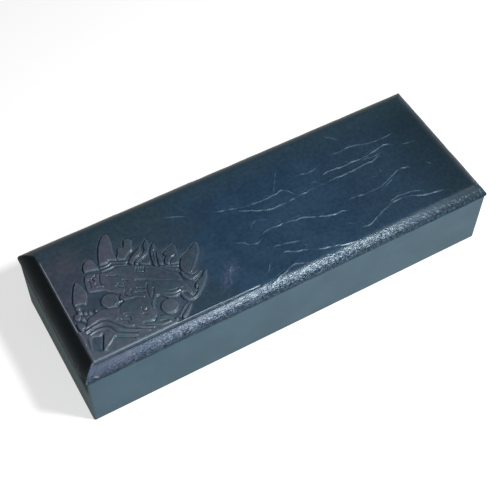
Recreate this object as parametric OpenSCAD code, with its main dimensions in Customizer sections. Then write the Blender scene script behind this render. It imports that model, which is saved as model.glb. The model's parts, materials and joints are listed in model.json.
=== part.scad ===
// A leather-covered pen case: a lined wooden box with a bevelled lid on two small hinges.
// The origin is on the table under the middle of the body, +X along its length, +Y to the hinges.

/* [Body] */
// Length of the body over its leather
body_l = 220; // [190:1:260]
// Width of the body over its leather, front to back
body_w = 77; // [60:0.5:100]
// Height of the body's rim above the table
body_h = 34.9; // [28:0.1:50]
// Radius of the body's upright corners
corner_r = 1.5; // [1.2:0.1:2.5]
// Radius of the leather where it turns over the rim and under the base
edge_r = 0.8; // [0.4:0.1:1]

/* [Boards] */
// Thickness of the four upright boards
wall_t = 5; // [4:0.1:7]
// Thickness of the base board
floor_t = 4; // [3:0.1:6]

/* [Leather] */
// Thickness of the leather on the body and on the lid
leather_t = 1; // [0.8:0.1:1.2]
// Width of the leather turned under the base
turn_w = 10; // [6:0.5:16]
// Gap round the sheet and the panel that fill a window in the turned leather
window_gap = 0.2; // [0.1:0.05:0.4]
// Width of the groove where the strip round the body meets itself at the back
seam_w = 0.4; // [0.2:0.1:1]
// Depth of that groove
seam_d = 0.5; // [0.2:0.1:0.7]

/* [Lining] */
// Thickness of the velvet-covered card on the floor and the walls
lining_t = 1.5; // [1:0.1:3]
// Distance from the rim down to the top edge of the wall lining
lining_drop = 0.6; // [0.3:0.1:2]

/* [Lid] */
// Height of the lid from its underside to its top
lid_h = 5.4; // [4.8:0.1:7]
// Overhang of the lid past the front and both ends of the body
lid_over = 0.6; // [0.4:0.1:1]
// Overhang of the lid past the back of the body, which covers the hinge knuckles
lid_back = 2.1; // [2:0.1:2.6]
// Radius of the lid's upright corners
lid_corner_r = 1.2; // [1.1:0.1:2]
// Gap between the closed lid and the rim
seam_gap = 0.2; // [0.1:0.05:0.4]
// Width of the rounded bevel, measured in from the lid's edge
bevel_in = 6.6; // [5:0.1:9]
// Height of the upright band under the bevel
band_h = 0.8; // [0.5:0.1:1.5]
// Bow of the bevel: how far its ends turn from its straight chord, in degrees
bevel_bow = 22; // [10:1:26]
// Depth to which the lined panel drops below the lid's underside
panel_drop = 2.4; // [1.5:0.1:4]
// Gap between the lined panel and the lining round it
panel_fit = 0.6; // [0.4:0.1:1.2]
// Thickness of the velvet wrapped over the panel
velvet_t = 0.8; // [0.5:0.1:1.2]

/* [Hinges] */
// Distance from each end of the body to the middle of its hinge
hinge_in = 45; // [25:1:60]
// Length of a hinge along its pin
hinge_l = 18; // [14:1:26]
// Thickness of a leaf
leaf_t = 0.7; // [0.5:0.1:1]
// Strip of rim left between a leaf and the inside of the wall
leaf_margin = 0.4; // [0.2:0.1:1]
// Outer radius of the knuckles
knuckle_r = 1.2; // [1.1:0.1:1.3]
// Gap between neighbouring knuckles, and between a knuckle and the other leaf
knuckle_gap = 0.2; // [0.1:0.05:0.4]
// Radius of the hinge pin
pin_r = 0.5; // [0.4:0.05:0.6]
// Running clearance of the lid's knuckle round the pin
pin_clear = 0.05; // [0.02:0.01:0.1]
// Clearance round a leaf in its recess
leaf_fit = 0.1; // [0.05:0.05:0.3]
// Clearance round the knuckles where the boards and the leather are cut away
knuckle_room = 0.2; // [0.2:0.05:0.3]

/* [Screws] */
// Distance between the two screws of a leaf
screw_pitch = 10; // [8:0.5:12]
// Radius of a screw's countersunk head
head_r = 1.4; // [1.1:0.1:1.6]
// Radius of a screw's shank
shank_r = 0.65; // [0.4:0.05:0.8]
// Length of a body screw from its head to its point
body_screw_l = 7; // [4:0.5:12]
// Wood left between the point of a lid screw and the leather above it
screw_cover = 0.3; // [0.2:0.05:0.6]
// Clearance of a screw in its leaf
screw_fit = 0.1; // [0.05:0.05:0.2]
// Length of each arm-to-arm slot of the cross in a screw's head
slot_l = 1.9; // [1.4:0.1:2.1]
// Width of the cross slot
slot_w = 0.3; // [0.2:0.05:0.4]
// Depth of the cross slot
slot_d = 0.3; // [0.2:0.05:0.4]

/* [Hidden] */
$fn = 48;
// Overcut that carries a cut clear of the face it opens
cut = 1;

// Outside of the wooden core, and the radius of its upright corners
core_l = body_l - 2 * leather_t;
core_w = body_w - 2 * leather_t;
core_r = max(corner_r - leather_t, 0.1);
// Heights at which the upright boards stand and end
wall_low = leather_t + floor_t;
wall_top = body_h - leather_t;
// Room between the upright boards
room_l = core_l - 2 * wall_t;
room_w = core_w - 2 * wall_t;
// Well between the linings
well_l = room_l - 2 * lining_t;
well_w = room_w - 2 * lining_t;
lining_low = wall_low + lining_t;
lining_top = body_h - lining_drop;
// Window in the leather turned under the base
base_window_l = body_l - 2 * turn_w;
base_window_w = body_w - 2 * turn_w;

// Outside of the lid, its middle, which lies behind the body's, and the height of its underside
lid_l = body_l + 2 * lid_over;
lid_w = body_w + lid_over + lid_back;
lid_y = (lid_back - lid_over) / 2;
lid_z = body_h + seam_gap;
// Outside of the lined panel under the lid
panel_l = well_l - 2 * panel_fit;
panel_w = well_w - 2 * panel_fit;

// The bevel is one arc: its steepness at the band and at the top, its radius and its centre
bevel_chord = atan2(lid_h - band_h, bevel_in);
bevel_steep = bevel_chord + bevel_bow;
bevel_flat = bevel_chord - bevel_bow;
bevel_r = bevel_in / (sin(bevel_steep) - sin(bevel_flat));
bevel_centre = [bevel_r * sin(bevel_steep), band_h - bevel_r * cos(bevel_steep)];
bevel_steps = 12;

// The hinge axis lies in the middle of the seam, a quarter of the front overhang behind the body
axis_y = body_w / 2 + lid_over / 4;
axis_z = body_h + seam_gap / 2;
hinge_x = body_l / 2 - hinge_in;
leaf_w = axis_y - room_w / 2 - leaf_margin;
// The lid has the middle knuckle and the body the two outer ones
middle_l = hinge_l / 3;
// Screws stand midway across the flat of a leaf
screw_y = -(knuckle_r + leaf_w) / 2;
// The lid board's top over a screw, measured from the hinge axis
screw_inset = lid_y + lid_w / 2 - axis_y - screw_y;
board_arc = sqrt(pow(bevel_r - leather_t, 2) - pow(bevel_centre[0] - screw_inset, 2));
board_top = min(lid_h - leather_t, bevel_centre[1] + board_arc);
lid_screw_l = board_top - screw_cover;

leather_colour = "#23374a";
lid_colour = "#1c2c3d";
wood_colour = "#b78f5e";
velvet_colour = "#3a3f52";
brass_colour = "#b5904a";
steel_colour = "#a9abad";

// A rectangle with round corners, centred
module rounded_rect(l, w, r) {
    square([l - 2 * r, w], center = true);
    square([l, w - 2 * r], center = true);
    for (x = [-1, 1], y = [-1, 1])
        translate([x * (l / 2 - r), y * (w / 2 - r)]) circle(r);
}

// A block centred on x and y that stands from one height to another
module block(l, w, low, top) {
    translate([-l / 2, -w / 2, low]) cube([l, w, top - low]);
}

// Lays a profile drawn in x and height along the length of the case
module along_length(l) {
    rotate([90, 0, 90]) linear_extrude(l, center = true) children();
}

// Lays the same kind of profile along the width of the case
module along_width(w) {
    rotate([90, 0, 0]) linear_extrude(w, center = true) children();
}

// The wooden core's outline between two heights
module core(low, top) {
    translate([0, 0, low]) linear_extrude(top - low) rounded_rect(core_l, core_w, core_r);
}

// The body's outer form, with every edge rounded
module body_form() {
    intersection() {
        linear_extrude(body_h) rounded_rect(body_l, body_w, corner_r);
        translate([0, 0, body_h / 2]) along_length(body_l) rounded_rect(body_w, body_h, edge_r);
        translate([0, 0, body_h / 2]) along_width(body_w) rounded_rect(body_l, body_h, edge_r);
    }
}

// A point of the bevel at a steepness, on the arc that lies t under the surface
function bevel_point(t, steep) =
    bevel_centre + (bevel_r - t) * [-sin(steep), cos(steep)];

// The bevel from band to top, run on straight past both ends so that a block can trim it
function bevel_side(t) = concat(
    [bevel_point(t, bevel_steep) - lid_h * [cos(bevel_steep), sin(bevel_steep)]],
    [for (i = [0:bevel_steps])
        bevel_point(t, bevel_steep + (bevel_flat - bevel_steep) * i / bevel_steps)],
    [bevel_point(t, bevel_flat) + lid_h * [cos(bevel_flat), sin(bevel_flat)]]);

// Cross-section between the two bevels of a lid w wide
module bevel_section(w, t) {
    side = bevel_side(t);
    last = len(side) - 1;
    polygon(concat(
        [for (p = side) [w / 2 - p[0], p[1]]],
        [for (i = [last:-1:0]) [side[i][0] - w / 2, side[i][1]]]));
}

// The bevelled lid in its place, drawn t inside its leather
module lid_form(t) {
    translate([0, lid_y, lid_z]) intersection() {
        translate([0, 0, t]) linear_extrude(lid_h - 2 * t)
            rounded_rect(lid_l - 2 * t, lid_w - 2 * t, max(lid_corner_r - t, 0.1));
        along_length(lid_l) bevel_section(lid_w, t);
        along_width(lid_w) bevel_section(lid_l, t);
    }
}

// Puts a copy at each hinge, on its axis
module at_hinges() {
    for (side = [-1, 1]) translate([side * hinge_x, axis_y, axis_z]) children();
}

// Turns what is drawn for the body's half of a hinge into the lid's half
module for_lid() {
    mirror([0, 0, 1]) children();
}

// A rod along the hinge axis between two places
module rod(r, from, to) {
    translate([from, 0, 0]) rotate([0, 90, 0]) cylinder(r = r, h = to - from);
}

// The recess for a leaf and the room for the knuckles, cut from leather and boards
module hinge_recess() {
    half = hinge_l / 2 + leaf_fit;
    translate([-half, -leaf_w - leaf_fit, -seam_gap / 2 - leaf_t])
        cube([2 * half, leaf_w + leaf_fit + cut, leaf_t + seam_gap / 2]);
    rod(knuckle_r + knuckle_room, -half, half);
}

// A countersunk screw without its slot, which is also the bore that it cuts
module screw_form(l) {
    rotate_extrude()
        polygon([[0, 0], [head_r, 0], [shank_r, -leaf_t], [shank_r, -l + 2 * shank_r], [0, -l]]);
}

// One screw, its head level with the leaf
module screw(l) {
    difference() {
        screw_form(l);
        for (turn = [0, 90]) rotate(turn)
            translate([-slot_l / 2, -slot_w / 2, -slot_d]) cube([slot_l, slot_w, slot_d + cut]);
    }
}

// The countersunk hole for a screw in its leaf
module countersink() {
    wide = head_r + screw_fit;
    narrow = shank_r + screw_fit;
    rotate_extrude()
        polygon([[0, cut], [wide, cut], [wide, 0], [narrow, -leaf_t], [narrow, -leaf_t - cut],
                 [0, -leaf_t - cut]]);
}

// Puts a copy at both screws of the body's leaf
module at_screws() {
    for (x = [-1, 1]) translate([x * screw_pitch / 2, screw_y, -seam_gap / 2]) children();
}

// The flat of a leaf with its two countersunk holes
module leaf_flat() {
    difference() {
        translate([-hinge_l / 2, -leaf_w, -seam_gap / 2 - leaf_t]) cube([hinge_l, leaf_w, leaf_t]);
        at_screws() countersink();
    }
}

// Clears a leaf round the other leaf's knuckle
module knuckle_notch(from, to) {
    reach = knuckle_r + knuckle_gap;
    translate([from, -reach, -reach]) cube([to - from, 2 * reach, 2 * reach]);
}

module hinge_body_leaf() {
    half_gap = middle_l / 2 + knuckle_gap / 2;
    color(brass_colour) difference() {
        union() {
            difference() {
                leaf_flat();
                knuckle_notch(-half_gap, half_gap);
            }
            rod(knuckle_r, -hinge_l / 2, -half_gap);
            rod(knuckle_r, half_gap, hinge_l / 2);
        }
        rod(pin_r, -hinge_l / 2 - cut, hinge_l / 2 + cut);
    }
}

module hinge_lid_leaf() {
    half_knuckle = middle_l / 2 - knuckle_gap / 2;
    color(brass_colour) for_lid() difference() {
        union() {
            difference() {
                leaf_flat();
                knuckle_notch(-hinge_l / 2 - cut, -half_knuckle);
                knuckle_notch(half_knuckle, hinge_l / 2 + cut);
            }
            rod(knuckle_r, -half_knuckle, half_knuckle);
        }
        rod(pin_r + pin_clear, -hinge_l / 2, hinge_l / 2);
    }
}

module hinge_pin() {
    color(steel_colour) rod(pin_r, -hinge_l / 2, hinge_l / 2);
}

// Puts a piece on the axis of the left or the right hinge
module on_left() {
    translate([-hinge_x, axis_y, axis_z]) children();
}

module on_right() {
    translate([hinge_x, axis_y, axis_z]) children();
}

module left_hinge_body_leaf() on_left() hinge_body_leaf();
module left_hinge_lid_leaf() on_left() hinge_lid_leaf();
module left_hinge_pin() on_left() hinge_pin();
module right_hinge_body_leaf() on_right() hinge_body_leaf();
module right_hinge_lid_leaf() on_right() hinge_lid_leaf();
module right_hinge_pin() on_right() hinge_pin();

module body_hinge_screws() {
    color(steel_colour) at_hinges() at_screws() screw(body_screw_l);
}

module lid_hinge_screws() {
    color(steel_colour) at_hinges() for_lid() at_screws() screw(lid_screw_l);
}

// Everything that the hinges cut from the body's leather and boards
module body_hinge_cuts() {
    at_hinges() hinge_recess();
    at_hinges() at_screws() screw_form(body_screw_l);
}

// Everything that the hinges cut from the lid's leather and board
module lid_hinge_cuts() {
    at_hinges() for_lid() hinge_recess();
    at_hinges() for_lid() at_screws() screw_form(lid_screw_l);
}

module base_board() {
    color(wood_colour) core(leather_t, wall_low);
}

// One of the two long boards, which run the full length of the core
module long_wall(side) {
    intersection() {
        core(wall_low, wall_top);
        translate([0, side * (core_w - wall_t) / 2, 0]) block(core_l, wall_t, wall_low, wall_top);
    }
}

// One of the two short boards, which stand between the long ones
module end_wall(side) {
    translate([side * (core_l - wall_t) / 2, 0, 0]) block(wall_t, room_w, wall_low, wall_top);
}

module front_wall() {
    color(wood_colour) long_wall(-1);
}

module back_wall() {
    color(wood_colour) difference() {
        long_wall(1);
        body_hinge_cuts();
    }
}

module left_wall() {
    color(wood_colour) end_wall(-1);
}

module right_wall() {
    color(wood_colour) end_wall(1);
}

module side_leather() {
    color(leather_colour) difference() {
        body_form();
        core(leather_t, wall_top);
        block(room_l, room_w, wall_low, body_h + cut);
        block(base_window_l, base_window_w, -cut, wall_low);
        translate([0, body_w / 2, 0]) block(seam_w, 2 * seam_d, -cut, body_h + cut);
        body_hinge_cuts();
    }
}

module base_sheet() {
    color(leather_colour)
        block(base_window_l - 2 * window_gap, base_window_w - 2 * window_gap, 0, leather_t);
}

module floor_lining() {
    color(velvet_colour) block(room_l, room_w, wall_low, lining_low);
}

// One of the two long wall linings
module long_lining(side) {
    color(velvet_colour) translate([0, side * (room_w - lining_t) / 2, 0])
        block(room_l, lining_t, lining_low, lining_top);
}

// One of the two short wall linings, which stand between the long ones
module end_lining(side) {
    color(velvet_colour) translate([side * (room_l - lining_t) / 2, 0, 0])
        block(lining_t, well_w, lining_low, lining_top);
}

module front_lining() long_lining(-1);
module back_lining() long_lining(1);
module left_lining() end_lining(-1);
module right_lining() end_lining(1);

module lid_board() {
    color(wood_colour) difference() {
        lid_form(leather_t);
        lid_hinge_cuts();
    }
}

module lid_leather() {
    window_l = panel_l + 2 * window_gap;
    window_w = panel_w + 2 * window_gap;
    color(lid_colour) difference() {
        lid_form(0);
        lid_form(leather_t);
        block(window_l, window_w, lid_z - cut, lid_z + 2 * leather_t);
        lid_hinge_cuts();
    }
}

// The panel's inner board, inside its velvet
module lid_panel() {
    color(wood_colour)
        block(panel_l - 2 * velvet_t, panel_w - 2 * velvet_t,
              lid_z - panel_drop + velvet_t, lid_z + leather_t);
}

// Velvet over the panel's face and up its four sides
module lid_lining() {
    color(velvet_colour) difference() {
        block(panel_l, panel_w, lid_z - panel_drop, lid_z + leather_t);
        block(panel_l - 2 * velvet_t, panel_w - 2 * velvet_t,
              lid_z - panel_drop + velvet_t, lid_z + leather_t + cut);
    }
}

base_board();
front_wall();
back_wall();
left_wall();
right_wall();
side_leather();
base_sheet();
floor_lining();
front_lining();
back_lining();
left_lining();
right_lining();
lid_board();
lid_leather();
lid_panel();
lid_lining();
left_hinge_body_leaf();
left_hinge_lid_leaf();
left_hinge_pin();
right_hinge_body_leaf();
right_hinge_lid_leaf();
right_hinge_pin();
body_hinge_screws();
lid_hinge_screws();
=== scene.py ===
"""Looks of a leather-covered pen case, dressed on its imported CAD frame."""
import json
import math

import bmesh
import bpy
import numpy as np
from mathutils import Matrix, Vector

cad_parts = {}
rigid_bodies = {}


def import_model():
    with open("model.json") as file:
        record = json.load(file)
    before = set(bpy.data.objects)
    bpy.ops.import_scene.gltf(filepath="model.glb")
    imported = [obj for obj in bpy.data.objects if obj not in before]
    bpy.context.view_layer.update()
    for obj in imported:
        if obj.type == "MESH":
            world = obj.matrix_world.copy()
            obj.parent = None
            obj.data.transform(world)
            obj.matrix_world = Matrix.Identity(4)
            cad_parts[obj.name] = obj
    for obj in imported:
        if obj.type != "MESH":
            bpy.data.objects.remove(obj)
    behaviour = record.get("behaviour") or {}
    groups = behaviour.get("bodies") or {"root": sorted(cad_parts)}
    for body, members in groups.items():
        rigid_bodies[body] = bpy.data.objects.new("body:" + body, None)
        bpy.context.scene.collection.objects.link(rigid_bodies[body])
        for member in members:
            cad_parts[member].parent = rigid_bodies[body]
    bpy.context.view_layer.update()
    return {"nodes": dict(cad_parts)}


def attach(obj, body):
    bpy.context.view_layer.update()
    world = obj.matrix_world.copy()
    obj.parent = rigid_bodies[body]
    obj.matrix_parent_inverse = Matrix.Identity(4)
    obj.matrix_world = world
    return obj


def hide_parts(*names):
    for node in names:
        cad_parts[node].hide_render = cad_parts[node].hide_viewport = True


for old in list(bpy.data.objects):
    bpy.data.objects.remove(old)

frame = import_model()

MM = 0.001

# Camera, found from the edges of the case in the photograph (mm and degrees)
AZIMUTH = -30.56
ELEVATION = 54.9
ROLL = 1.14
DISTANCE = 552.5
TARGET = Vector((2.09, 11.29, 0))
FOCAL = 75.96

# The lid in mm: half its length and width, how far back it sits, its underside, height and corners
LID_X = 110.6
LID_Y = 39.85
LID_SHIFT = 0.75
LID_LOW = 35.1
LID_H = 5.4
CORNER_R = 1.2
# The bevel's arc: its radius, its centre's inset and depth, its width, and its slope at the top
BEVEL_R = 10.74
BEVEL_IN = 9.0
BEVEL_DOWN = 5.065
BEVEL_W = 6.6
BEVEL_END = math.tan(math.radians(12.9))

# The finest pitch of grids, at rolled edges
FINE = 0.16
# Slopes that fall this way, to the left and a little back, look dark in the photograph
DARK_X, DARK_Y = 0.8, -0.6
# Marks on the lid: the shoulders of raised and sunk parts, the slope of a swell, and the reach
SHOULDER, SINK_SHOULDER, DISH_W, REACH = 0.42, 0.45, 2.5, 1.2
# The ditch round a raised part: how far out, its width, its depth on sides that face right, what
# sides that face left have more, and the height above which there is none
DITCH_OUT, DITCH_W, DITCH_DEPTH, DITCH_MORE, DITCH_TOP = 0.45, 0.36, 0.03, 0.17, 0.15
# Seeded patterns repeat after so many bumps, and are read from far inside them
KNOTS, FAR = 210, 1000


def show(piece):
    """Puts an object in the scene."""
    bpy.context.collection.objects.link(piece)


def add_camera():
    """The camera at the photograph's viewing angle."""
    az, el, roll = (math.radians(a) for a in (AZIMUTH, ELEVATION, ROLL))
    turn = (Matrix.Rotation(az, 4, "Z") @ Matrix.Rotation(math.pi / 2 - el, 4, "X")
            @ Matrix.Rotation(roll, 4, "Z"))
    data = bpy.data.cameras.new("camera")
    data.lens = FOCAL
    data.sensor_width = 36
    data.clip_start = 0.01
    camera = bpy.data.objects.new("camera", data)
    away = Matrix.Translation((0, 0, DISTANCE * MM))
    camera.matrix_world = Matrix.Translation(TARGET * MM) @ turn @ away
    show(camera)
    bpy.context.scene.camera = camera


def smooth_line(points, closed=False, parts=4):
    """A smooth line, in mm, through a few points given in tenths of a mm."""
    p = np.array(points) / 10
    if closed:
        ring = np.vstack([p[-1:], p, p[:2]])
    else:
        ring = np.vstack([2 * p[0] - p[1], p, 2 * p[-1] - p[-2]])
    t = np.linspace(0, 1, parts, endpoint=False)[:, None]
    spans = []
    for a, b, c, d in zip(ring, ring[1:], ring[2:], ring[3:]):
        spans.append(0.5 * (2 * b + (c - a) * t + (2 * a - 5 * b + 4 * c - d) * t ** 2
                            + (3 * b - a - 3 * c + d) * t ** 3))
    last = ring[1:2] if closed else ring[-2:-1]
    return np.vstack(spans + [last])


def step(x):
    """Rises smoothly from 0 at 0 to 1 at 1."""
    x = np.clip(x, 0, 1)
    return x * x * (3 - 2 * x)


def ripple(x, y, pitch, seed):
    """Smooth seeded values from -1 to 1, in bumps about pitch mm apart."""
    knots = np.random.default_rng(seed).uniform(-1, 1, (KNOTS + 1, KNOTS + 1))
    u, v = x / pitch + FAR, y / pitch + FAR
    i, j = np.floor(u).astype(int), np.floor(v).astype(int)
    fu, fv = step(u - i), step(v - j)
    i, j = i % KNOTS, j % KNOTS
    low = knots[j, i] * (1 - fu) + knots[j, i + 1] * fu
    high = knots[j + 1, i] * (1 - fu) + knots[j + 1, i + 1] * fu
    return low * (1 - fv) + high * fv


def spaced(*spans):
    """Places along one axis: (from, to, pitch) spans laid end to end."""
    parts = [np.linspace(a, b, max(round((b - a) / pitch), 1), endpoint=False)
             for a, b, pitch in spans]
    return np.append(np.concatenate(parts), spans[-1][1])


def soft_min(a, b, blend):
    """The lower of two heights, rounded where they meet."""
    return np.minimum(a, b) - blend * np.log1p(np.exp(-np.abs(a - b) / blend))


def smoothed(h, *shifts):
    """The values averaged with those so many places away, once for each shift."""
    for shift in shifts:
        padded = np.pad(h, shift, mode="edge")
        rows = (padded[:-2 * shift] + 2 * padded[shift:-shift] + padded[2 * shift:]) / 4
        h = (rows[:, :-2 * shift] + 2 * rows[:, shift:-shift] + rows[:, 2 * shift:]) / 4
    return h


def facing_left(heights):
    """1 where heights fall to the left and back, 0 where they fall to the right and front."""
    up, along = np.gradient(heights)
    falls = np.clip(DARK_X * along + DARK_Y * up, 0, None)
    return falls / np.maximum(np.hypot(along, up), 1e-9)


class Relief:
    """Heights over a grid of places on the lid, in mm, on which marks are drawn."""

    def __init__(self, xs, ys):
        self.xs, self.ys = xs, ys
        self.x, self.y = np.meshgrid(xs, ys)
        self.h = np.zeros_like(self.x)

    def near(self, line, reach):
        """The part of the grid round a line."""
        low, high = line.min(0) - reach, line.max(0) + reach
        rows = slice(*np.searchsorted(self.ys, (low[1], high[1])))
        cols = slice(*np.searchsorted(self.xs, (low[0], high[0])))
        return rows, cols

    def distance(self, line, at):
        """Distance from a line, and whether inside a closed one."""
        x, y = self.x[at], self.y[at]
        best = np.full(x.shape, 1e9)
        inside = np.zeros(x.shape, bool)
        for (ax, ay), (bx, by) in zip(line, line[1:]):
            dx, dy = bx - ax, by - ay
            t = ((x - ax) * dx + (y - ay) * dy) / max(dx * dx + dy * dy, 1e-12)
            t = np.clip(t, 0, 1)
            best = np.minimum(best, np.hypot(x - ax - t * dx, y - ay - t * dy))
            if dy:
                crossing = ax + (y - ay) / dy * dx
                inside ^= ((ay > y) != (by > y)) & (x < crossing)
        return best, inside

    def depth_in(self, line):
        """The grid round a closed line, and how far inside the line it lies."""
        at = self.near(line, REACH)
        away, inside = self.distance(line, at)
        return at, np.where(inside, away, -away)

    def plate(self, line, height, dish=0):
        """Lifts what lies in a closed line to a height, with a ditch round it."""
        at, depth = self.depth_in(line)
        rise = height * step(depth / SHOULDER + 0.5) + dish * step(depth / DISH_W)
        self.h[at] = np.maximum(self.h[at], rise)
        ditch = DITCH_DEPTH + DITCH_MORE * facing_left(depth)
        ditch = ditch * np.exp(-((depth + DITCH_OUT) / DITCH_W) ** 2)
        self.h[at] -= np.where(self.h[at] < DITCH_TOP, ditch, 0)

    def lift(self, line, height):
        """Raises what lies in a closed line by a height."""
        at, depth = self.depth_in(line)
        self.h[at] += height * step(depth / SHOULDER + 0.5)

    def sink(self, line, height):
        """Lowers what lies in a closed line to a height."""
        at, depth = self.depth_in(line)
        part = step(depth / SINK_SHOULDER + 0.5)
        self.h[at] = self.h[at] * (1 - part) + np.minimum(self.h[at], height) * part

    def dome(self, centre, radii, height, base):
        """A flattened dome on an ellipse."""
        line = np.array(centre) + np.array([(-radii[0], -radii[1]), radii])
        at = self.near(line, REACH / 2)
        out = np.hypot((self.x[at] - centre[0]) / radii[0], (self.y[at] - centre[1]) / radii[1])
        rise = base * step((1 - out) / 0.1) + height * np.sqrt(np.clip(1 - out ** 2, 0, 1))
        self.h[at] = np.maximum(self.h[at], rise)

    def stroke(self, line, height, width, fade=0, broken=0):
        """Adds a ridge along a line, or a groove where the height is negative."""
        at = self.near(line, 3 * width)
        x, y = self.x[at], self.y[at]
        away, _ = self.distance(line, at)
        shape = np.exp(-(away / width) ** 2)
        if broken:
            shape = shape * (1 - broken * (0.5 + 0.5 * ripple(x, y, 2.6, 8)))
        if fade:
            start, end = line[0], line[-1]
            ends = np.minimum(np.hypot(x - start[0], y - start[1]),
                              np.hypot(x - end[0], y - end[1]))
            shape = shape * (0.35 + 0.65 * step(ends / fade))
        self.h[at] += height * shape


# The ornament: a mask of old roof tiles, drawn about its own middle and turned on the lid (mm)
ORNAMENT_AT = (-68.2, -4.3)
ORNAMENT_TURN = math.radians(-30)

# Outlines, in tenths of a mm: its horns, the locks of hair between them, and its head
HORNS = [
    [(-158, 274), (-178, 260), (-187, 229), (-190, 200), (-189, 165), (-185, 136), (-180, 106),
     (-174, 96), (-156, 102), (-142, 112), (-131, 125), (-103, 127), (-106, 146), (-116, 165),
     (-124, 190), (-131, 219), (-142, 251)],
    [(-243, 54), (-251, 70), (-252, 90), (-247, 112), (-233, 125), (-214, 122), (-199, 104),
     (-181, 79), (-186, 70), (-212, 64), (-228, 58)],
    [(-280, -5), (-284, -50), (-282, -90), (-274, -128), (-260, -129), (-240, -122), (-220, -123),
     (-216, -95), (-222, -60), (-240, -35), (-260, -15)],
    [(274, 236), (257, 215), (243, 190), (221, 161), (207, 140), (203, 116), (206, 90), (218, 69),
     (236, 59), (257, 57), (264, 70), (276, 110), (286, 150), (290, 180), (286, 210)],
]
FLAMES = [
    [(-72, 243), (-38, 244), (-35, 219), (-28, 188), (-39, 176), (-46, 161), (-53, 147), (-60, 132),
     (-86, 128), (-100, 134), (-96, 166), (-99, 185), (-89, 194), (-71, 203)],
    [(6, 206), (-6, 186), (-18, 166), (-32, 142), (-39, 112), (-18, 106), (-16, 124), (-6, 144),
     (6, 156), (12, 172), (10, 188)],
    [(35, 248), (24, 226), (23, 206), (29, 188), (26, 172), (14, 154), (0, 136), (-9, 118),
     (-9, 104), (4, 104), (9, 118), (22, 138), (39, 158), (49, 180), (50, 204), (46, 228)],
    [(12, 105), (23, 122), (34, 136), (48, 134), (63, 123), (56, 106)],
    [(70, 230), (61, 206), (58, 180), (62, 156), (70, 132), (78, 104), (94, 102), (91, 124),
     (84, 148), (82, 174), (79, 206)],
    [(89, 182), (89, 156), (98, 128), (103, 106), (123, 106), (120, 124), (109, 150)],
    [(122, 172), (138, 195), (154, 208), (165, 221), (174, 212), (180, 195), (190, 164), (194, 134),
     (196, 116), (166, 108), (133, 112), (129, 134), (134, 154), (124, 162)],
]
HEAD = [
    (-170, 48), (-152, 52), (-132, 56), (-110, 74), (-93, 83), (-60, 87), (-42, 95), (30, 97),
    (100, 90), (120, 80), (136, 72), (154, 64), (189, 60), (206, 44), (223, 12), (243, -6),
    (258, -26), (270, -52), (256, -60), (242, -48), (226, -46), (213, -56), (189, -72), (160, -78),
    (133, -70), (117, -64), (102, -76), (99, -104), (100, -130), (108, -155), (115, -182),
    (133, -178), (167, -177), (189, -194), (200, -230), (80, -360), (-140, -460), (-260, -350),
    (-236, -276), (-216, -269), (-203, -236), (-200, -202), (-183, -184), (-166, -168),
    (-152, -154), (-138, -149), (-89, -147), (-67, -137), (-56, -119), (-46, -109), (-50, -96),
    (-66, -88), (-64, -64), (-90, -56), (-123, -52), (-150, -46), (-187, -53), (-217, -54),
    (-228, -24), (-237, 4), (-237, 30), (-224, 42), (-196, 44),
]
# Parts of the head that stand a little higher
FOREHEAD = [
    (-132, 50), (-110, 68), (-93, 78), (-60, 83), (-40, 91), (30, 93), (100, 86), (132, 69),
    (152, 60), (185, 56), (202, 42), (216, 18), (200, 16), (168, 19), (136, 15), (95, 15), (52, 18),
    (0, 18), (-16, 25), (-40, 35), (-70, 39), (-100, 45),
]
BROW = [
    (86, 2), (120, 8), (170, 7), (206, 0), (224, -16), (214, -26), (200, -26), (184, -35),
    (154, -41), (120, -36), (92, -22),
]
NOSE = [
    (-50, -118), (-38, -110), (-12, -106), (3, -96), (28, -88), (54, -91), (72, -106), (82, -128),
    (84, -152), (94, -174), (96, -192), (84, -206), (54, -210), (36, -206), (16, -202), (8, -184),
    (-4, -170), (-30, -168), (-46, -176), (-56, -156), (-55, -134),
]
CHEEK = [
    (-192, -200), (-174, -186), (-146, -158), (-90, -154), (-68, -148), (-66, -174), (-64, -198),
    (-80, -210), (-116, -200), (-144, -204), (-170, -226), (-190, -238),
]
# The curled whiskers, the gap between the fangs, and the fang beside it
HOOKS = [
    [(330, 80), (331, 30), (319, -15), (306, -50), (286, -78), (260, -93), (238, -87), (220, -69),
     (212, -54), (226, -56), (242, -70), (258, -78), (276, -70), (290, -50), (294, -24), (288, 4),
     (296, 22), (310, 40), (316, 64)],
    [(206, 64), (212, 46), (232, 29), (261, 22), (280, 34), (296, 52), (308, 74), (294, 70),
     (274, 50), (258, 41), (238, 44), (224, 54), (216, 66)],
    [(269, -112), (259, -114), (242, -149), (228, -182), (242, -187), (260, -152)],
    [(-248, -224), (-218, -230), (-209, -246), (-226, -262), (-242, -248)],
    [(304, 24), (298, -6), (284, -22), (280, -6), (288, 14)],
]
GAP = [
    (-174, -305), (-167, -294), (-142, -291), (-125, -278), (-121, -309), (-116, -364),
    (-159, -364), (-169, -334),
]
FANG = [
    (-120, -270), (-98, -267), (-72, -285), (-80, -316), (-92, -342), (-97, -364), (-114, -364),
    (-119, -310),
]
# In mm, the eyes and small curls: middle and radii
EYES = [((-11.1, -10.2), (4.2, 4)), ((16.7, -12.5), (4.2, 4.1))]
CURLS = [
    ((-25.2, -14.6), 1.3), ((-24.2, -16.8), 1.1), ((-21.8, -16.9), 1), ((-24.9, -19.4), 1.7),
    ((-22.4, -20.2), 1.1), ((-19.7, -16.7), 0.9), ((-16.9, -15.7), 0.8), ((16.6, 16.9), 0.9),
    ((20.3, -19.4), 0.8), ((-20.3, -31.2), 0.7), ((3, -30.1), 0.8), ((6.4, -28.4), 0.8),
    ((11.4, -25.2), 0.7), ((-26.6, -12.9), 0.8),
]
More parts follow.
